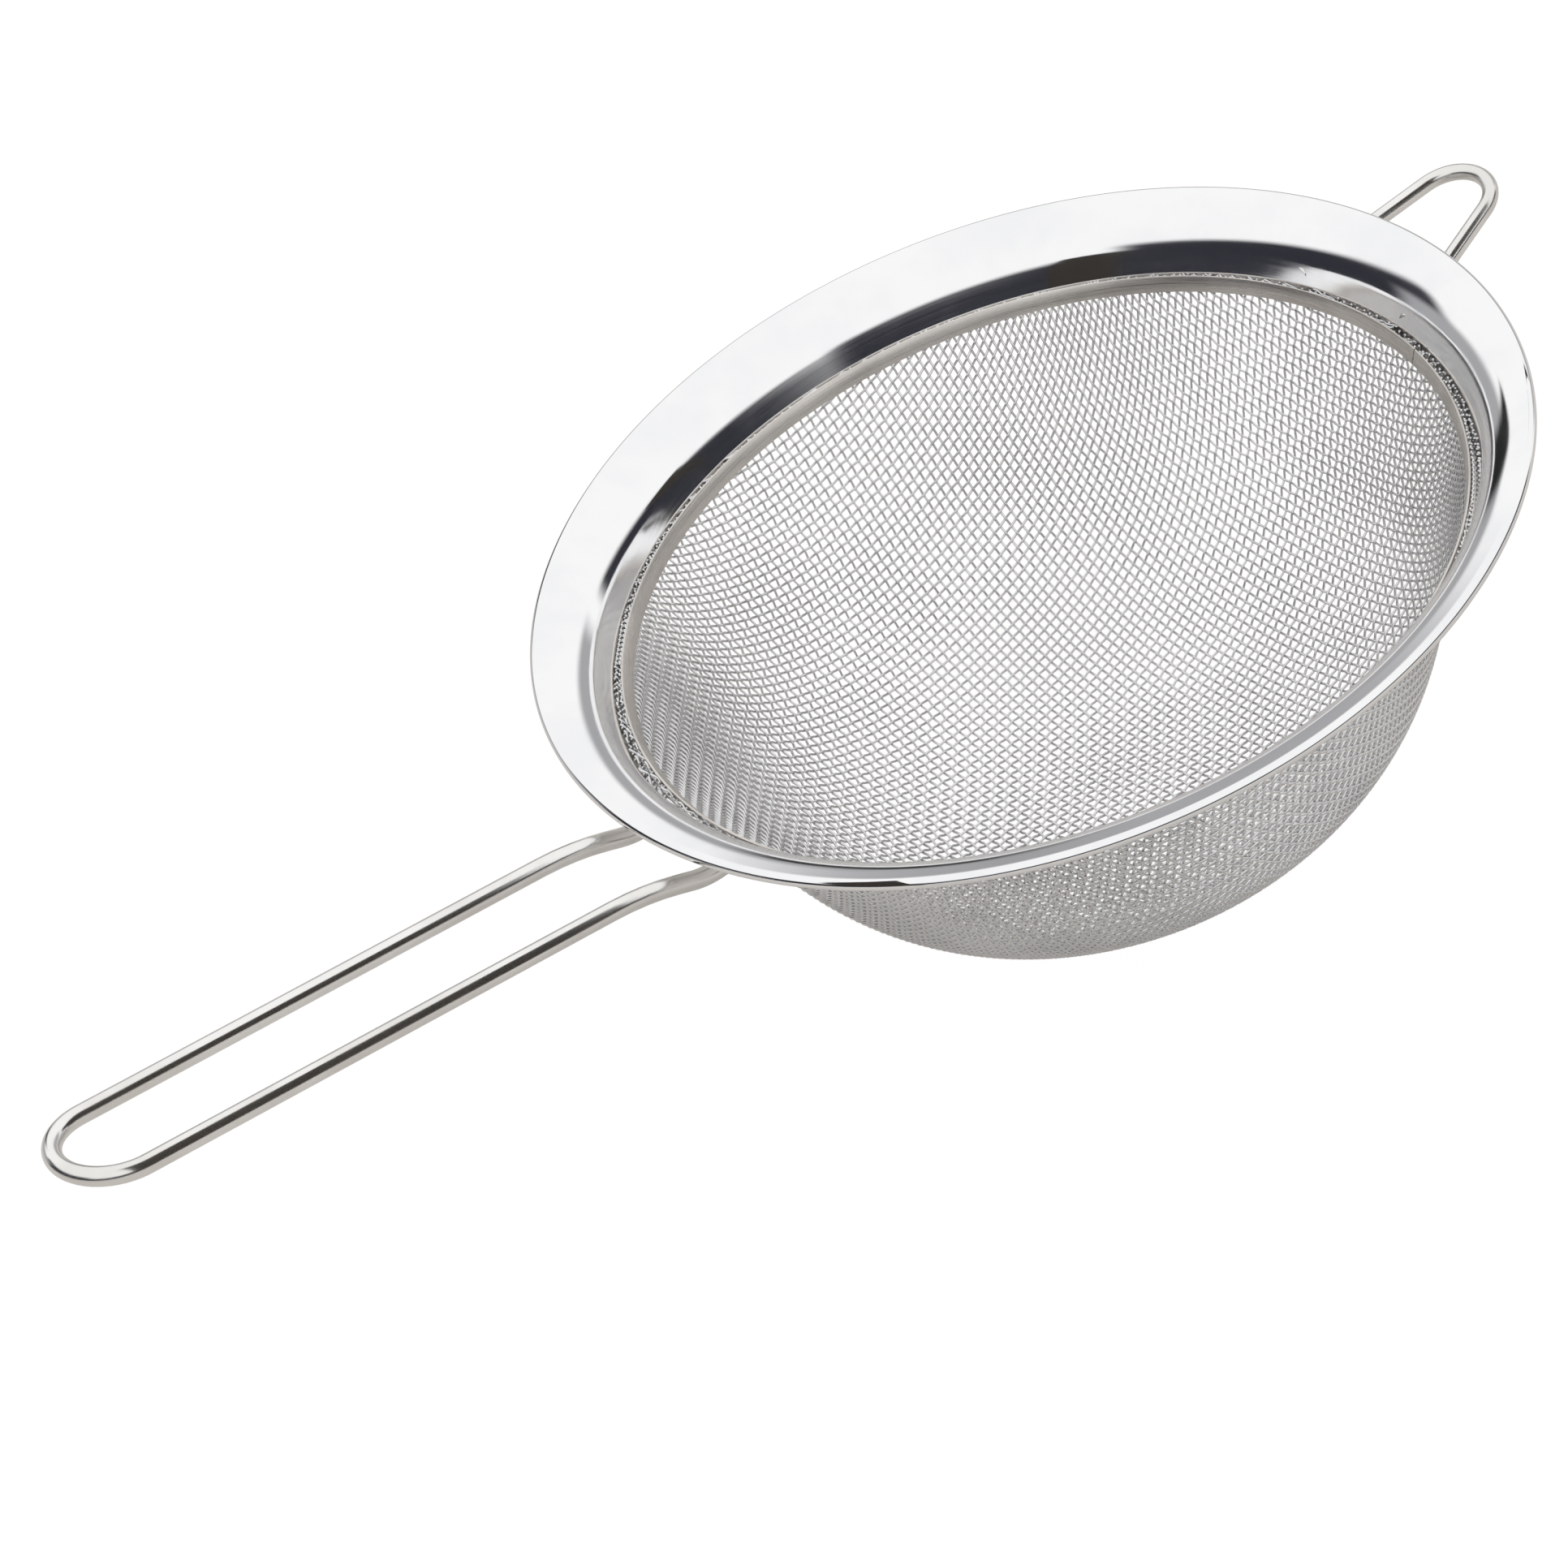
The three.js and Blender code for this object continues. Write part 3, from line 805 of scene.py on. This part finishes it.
def make_card(name, start, end, width, facing):
    """A black card like those that studios hold beside bright metal. Only mirrored light meets it."""
    start, end = Vector(start), Vector(end)
    length = (end - start).length
    along = (end - start).normalized()
    across = Vector(facing).cross(along).normalized()
    axes = Matrix((along, across, along.cross(across))).transposed().to_4x4()
    deselect_all()
    bpy.ops.mesh.primitive_plane_add(size=1, location=(0, 0, 0))
    card = begin(name)
    bpy.ops.transform.resize(value=(length, width, 1))
    bpy.ops.object.mode_set(mode="OBJECT")
    card.data.transform(Matrix.Translation((start + end) / 2) @ axes)
    material, nodes = new_material(name)
    black = nodes.add("ShaderNodeBsdfDiffuse")
    black.inputs["Color"].default_value = CARD_COLOUR
    nodes.show(black.outputs[0])
    card.data.materials.append(material)
    card.visible_camera = False
    card.visible_diffuse = False
    card.visible_shadow = False


def room_patch(nodes, parts, azimuth, half_width, low, high, edge):
    """A soft-edged mask over a stretch of the room: azimuth 0 looks along -Y, positive towards +X."""
    def part_along(x, y):
        return nodes.math("ADD", nodes.math("MULTIPLY", parts.outputs["X"], x),
                          nodes.math("MULTIPLY", parts.outputs["Y"], y))

    aside = part_along(math.cos(azimuth), math.sin(azimuth))
    ahead = part_along(math.sin(azimuth), -math.cos(azimuth))
    bearing = nodes.math("ABSOLUTE", nodes.math("ARCTAN2", aside, ahead))
    height = nodes.math("ARCSINE", parts.outputs["Z"])
    across = nodes.spread(bearing, half_width + edge, half_width - edge)
    above = nodes.spread(height, low - edge, low + edge)
    below = nodes.spread(height, high + edge, high - edge)
    return nodes.math("MULTIPLY", across, nodes.math("MULTIPLY", above, below))


def make_room():
    world = bpy.data.worlds.new("studio")
    bpy.context.scene.world = world
    world.use_nodes = True
    nodes = Nodes(world.node_tree)
    nodes.tree.nodes.clear()
    place = nodes.add("ShaderNodeTexCoord").outputs["Generated"]
    parts = nodes.add("ShaderNodeSeparateXYZ")
    nodes.join(place, parts.inputs[0])
    colour = ROOM_COLOUR
    for *degrees, shade in ROOM_PATCHES:
        mask = room_patch(nodes, parts, *map(math.radians, degrees))
        colour = nodes.mix(mask, colour, (*shade, 1))
    seen = nodes.add("ShaderNodeLightPath").outputs["Is Camera Ray"]
    colour = nodes.mix(seen, colour, BACKDROP_COLOUR)
    background = nodes.add("ShaderNodeBackground")
    nodes.join(colour, background.inputs["Color"])
    nodes.show(background.outputs[0], "ShaderNodeOutputWorld")


def make_camera():
    azimuth, elevation, roll = CAMERA_ANGLES
    right = Vector((math.cos(azimuth), math.sin(azimuth), 0))
    away = Vector((-math.sin(azimuth), math.cos(azimuth), 0))
    up = away * math.sin(elevation) + Vector((0, 0, math.cos(elevation)))
    looking = away * math.cos(elevation) - Vector((0, 0, math.sin(elevation)))
    camera_x = right * math.cos(roll) - up * math.sin(roll)
    camera_y = right * math.sin(roll) + up * math.cos(roll)
    aside, over, distance = CAMERA_OFFSET
    rim_centre = Vector((0, 0, BEAD_HEIGHT))
    place = rim_centre - camera_x * aside - camera_y * over - looking * distance
    data = bpy.data.cameras.new("camera")
    data.sensor_width = SENSOR_WIDTH
    data.lens = CAMERA_LENS
    data.clip_start, data.clip_end = CAMERA_NEAR, CAMERA_FAR
    camera = bpy.data.objects.new("camera", data)
    turn = Matrix((camera_x, camera_y, -looking)).transposed().to_4x4()
    camera.matrix_world = Matrix.Translation(place) @ turn
    bpy.context.scene.collection.objects.link(camera)
    bpy.context.scene.camera = camera


make_rim()
make_band()
make_handle()
make_rest_loop()
make_cloth()
make_floor()
for card in CARDS:
    make_card(*card)
make_room()
make_camera()
bpy.context.scene.view_settings.view_transform = "Standard"
